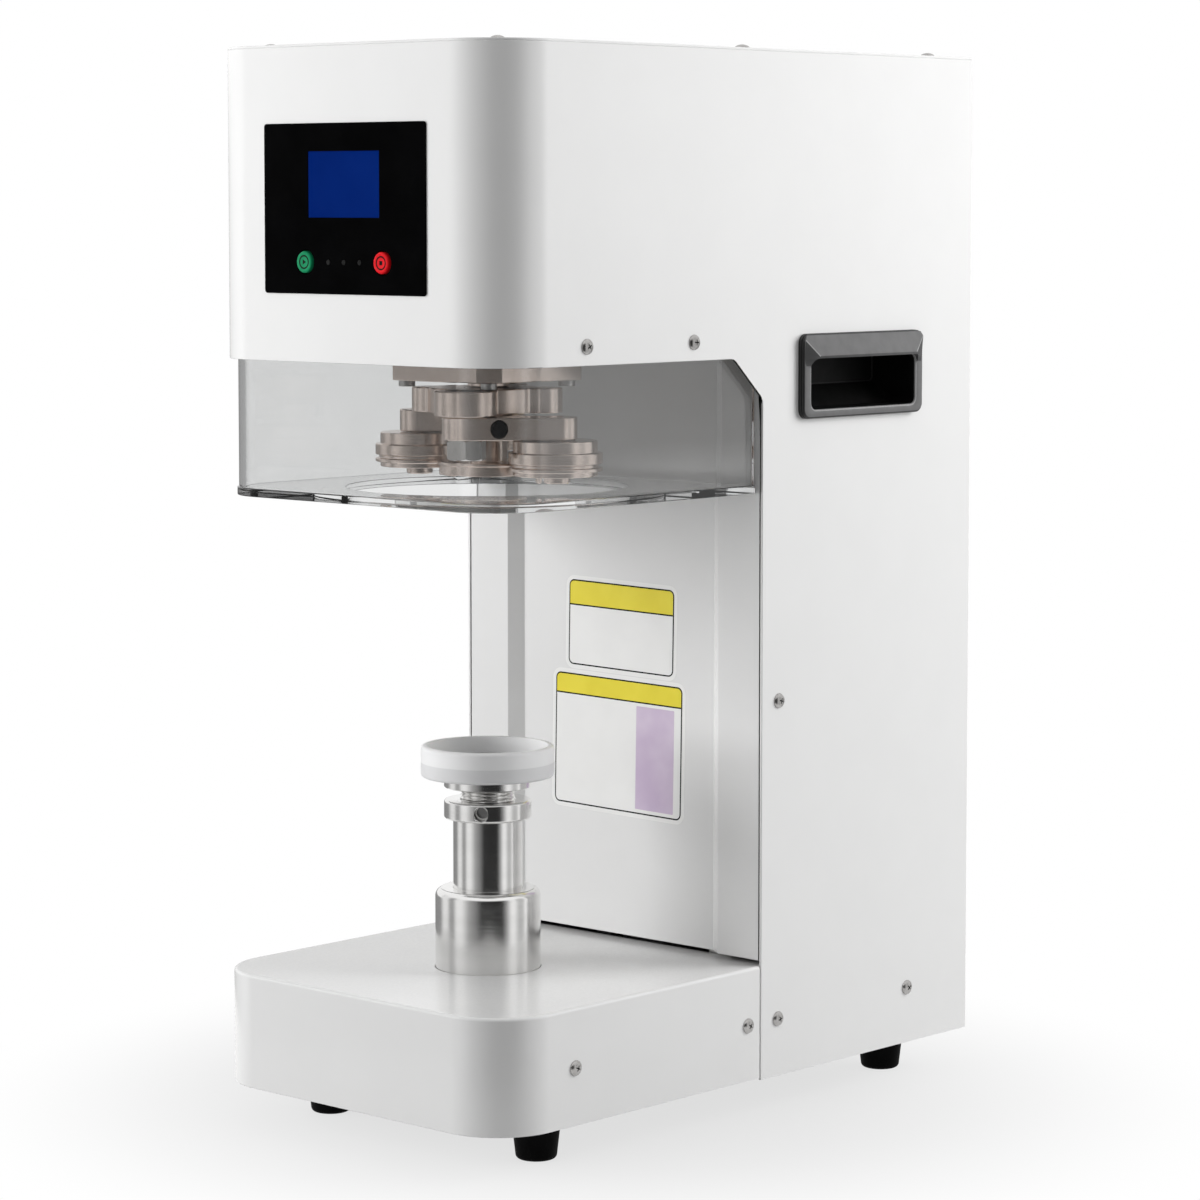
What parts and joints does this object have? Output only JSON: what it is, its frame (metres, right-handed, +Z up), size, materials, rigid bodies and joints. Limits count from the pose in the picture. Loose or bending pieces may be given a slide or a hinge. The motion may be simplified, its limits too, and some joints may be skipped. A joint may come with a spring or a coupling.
{
  "type": "can seamer",
  "caption": "Bench-top can seamer: white sheet-metal head and column over a clear guard, with a spinning seaming head whose rollers close on a chuck and a screw lift with a can holder.",
  "frame": {"origin": "centre of the footprint at the underside of the feet", "axes": "+Z up, +X across the machine, front with the control panel towards -Y"},
  "size_m": [0.265, 0.4388, 0.6524],
  "materials": {
    "powder_white": "smooth white powder coat",
    "plated_steel": "zinc plated",
    "cast_aluminium": "satin",
    "turned_steel": "fine turned",
    "bright_screw": "bright plated",
    "head_nickel": "warm satin nickel",
    "roller_steel": "ground",
    "black_oxide": "black oxide",
    "black_rubber": "matt",
    "black_plastic": "fine grain",
    "panel_black": "gloss",
    "display_blue": "gloss",
    "lamp_clear": "gloss",
    "board_green": "solder mask",
    "clear_acrylic": "polished clear",
    "frosted_white": "frosted",
    "bronze": "machined",
    "button_green": "gloss",
    "button_red": "gloss"
  },
  "bodies": {
    "frame": {"base_cover": "powder_white", "base_plate": "plated_steel", "main_cover": "powder_white", "top_cover": "powder_white", "rear_cover": "powder_white", "column_panel": "powder_white", "head_deck": "cast_aluminium", "frame_posts": "plated_steel", "rubber_feet": "black_rubber", "carry_handles": "black_plastic", "guard_wall": "clear_acrylic", "guard_floor": "clear_acrylic", "control_panel": "panel_black", "lcd_display": "display_blue", "indicator_lamps": "lamp_clear", "control_board": "board_green", "power_inlet": "black_plastic", "bearing_housing": "head_nickel", "bearing_outer_rings": "plated_steel", "housing_bolts": "bright_screw", "drive_belt": "black_rubber", "drive_motor": "cast_aluminium", "chuck_shaft": "plated_steel", "shaft_bracket": "plated_steel", "chuck": "head_nickel", "lift_guide": "turned_steel", "lift_standoffs": "plated_steel", "screw_bearing": "plated_steel", "lift_belt": "black_rubber", "lift_motor": "cast_aluminium", "cover_screws": "bright_screw"},
    "spindle": {"spindle": "head_nickel", "spindle_pulley": "cast_aluminium", "bearing_inner_rings": "plated_steel", "seaming_cam": "head_nickel"},
    "motor_rotor": {"motor_shaft": "plated_steel", "motor_pulley": "cast_aluminium"},
    "carrier": {"roller_carrier": "head_nickel", "return_springs": "black_oxide"},
    "first_arm": {"first_arm": "head_nickel", "first_pins": "head_nickel", "first_clamp_screw": "black_oxide"},
    "second_arm": {"second_arm": "head_nickel", "second_pins": "head_nickel", "second_clamp_screw": "black_oxide"},
    "first_roller": {"first_roller": "roller_steel"},
    "second_roller": {"second_roller": "roller_steel"},
    "screw": {"lift_screw": "plated_steel", "screw_pulley": "cast_aluminium"},
    "lift_rotor": {"lift_motor_pulley": "cast_aluminium"},
    "ram": {"lift_ram": "turned_steel", "lift_nut": "bronze"},
    "ring": {"adjusting_nut": "turned_steel"},
    "seat": {"can_seat": "turned_steel"},
    "holder": {"can_holder": "frosted_white"},
    "start_button": {"start_button": "button_green"},
    "stop_button": {"stop_button": "button_red"},
    "rocker": {"power_rocker": "black_plastic"}
  },
  "joints": [
    {"name": "head_spin", "type": "hinge", "parent": "frame", "child": "spindle", "pos_m": [0, -0.0995, 0.45], "axis": [0, 0, 1], "continuous": true},
    {"name": "motor_spin", "type": "hinge", "parent": "frame", "child": "motor_rotor", "pos_m": [0, 0.11725, 0.5], "axis": [0, 0, 1], "continuous": true},
    {"name": "carrier_shift", "type": "hinge", "parent": "spindle", "child": "carrier", "pos_m": [0, -0.0995, 0.44], "axis": [0, 0, 1], "range_deg": [-20, 20], "stiffness_Nm_per_rad": 0.6},
    {"name": "first_arm_swing", "type": "hinge", "parent": "carrier", "child": "first_arm", "pos_m": [0.024, -0.14107, 0.425], "axis": [0, 0, 1], "range_deg": [-4.97, 4.97]},
    {"name": "second_arm_swing", "type": "hinge", "parent": "carrier", "child": "second_arm", "pos_m": [-0.024, -0.05793, 0.425], "axis": [0, 0, 1], "range_deg": [-4.97, 4.97]},
    {"name": "first_roller_spin", "type": "hinge", "parent": "first_arm", "child": "first_roller", "pos_m": [0.05985, -0.10369, 0.407], "axis": [0, 0, 1], "continuous": true},
    {"name": "second_roller_spin", "type": "hinge", "parent": "second_arm", "child": "second_roller", "pos_m": [-0.05985, -0.09531, 0.407], "axis": [0, 0, 1], "continuous": true},
    {"name": "screw_spin", "type": "hinge", "parent": "frame", "child": "screw", "pos_m": [0, -0.0995, 0.05], "axis": [0, 0, 1], "range_deg": [-2521, 0]},
    {"name": "lift_motor_spin", "type": "hinge", "parent": "frame", "child": "lift_rotor", "pos_m": [0, 0.075, 0.05], "axis": [0, 0, 1], "range_deg": [-3825, 0]},
    {"name": "can_lift", "type": "slide", "parent": "frame", "child": "ram", "axis": [0, 0, 1], "range_m": [-0.028, 0]},
    {"name": "nut_turn", "type": "hinge", "parent": "ram", "child": "ring", "pos_m": [0, -0.0995, 0.19], "axis": [0, 0, 1], "range_deg": [-1080, 1080]},
    {"name": "seat_adjust", "type": "slide", "parent": "ram", "child": "seat", "axis": [0, 0, 1], "range_m": [-0.00601, 0.00601]},
    {"name": "holder_lift", "type": "slide", "parent": "seat", "child": "holder", "axis": [0, 0, 1], "range_m": [0, 0.05]},
    {"name": "start_press", "type": "slide", "parent": "frame", "child": "start_button", "axis": [0, 1, 0], "range_m": [0, 0.001], "stiffness_N_per_m": 800, "springref_m": -0.002},
    {"name": "stop_press", "type": "slide", "parent": "frame", "child": "stop_button", "axis": [0, 1, 0], "range_m": [0, 0.001], "stiffness_N_per_m": 800, "springref_m": -0.002},
    {"name": "power_switch", "type": "hinge", "parent": "frame", "child": "rocker", "pos_m": [0.0785, 0.2157, 0.11], "axis": [1, 0, 0], "range_deg": [-8, 8]}
  ],
  "couplings": [
    {"joint": "motor_spin", "follows": "head_spin", "ratio": 1.7},
    {"joint": "first_arm_swing", "follows": "carrier_shift", "ratio": 0.248},
    {"joint": "second_arm_swing", "follows": "carrier_shift", "ratio": -0.248},
    {"joint": "screw_spin", "follows": "can_lift", "rad_per_m": 1570.8},
    {"joint": "lift_motor_spin", "follows": "can_lift", "rad_per_m": 2381.5},
    {"joint": "seat_adjust", "follows": "nut_turn", "m_per_rad": -0.00031831}
  ]
}
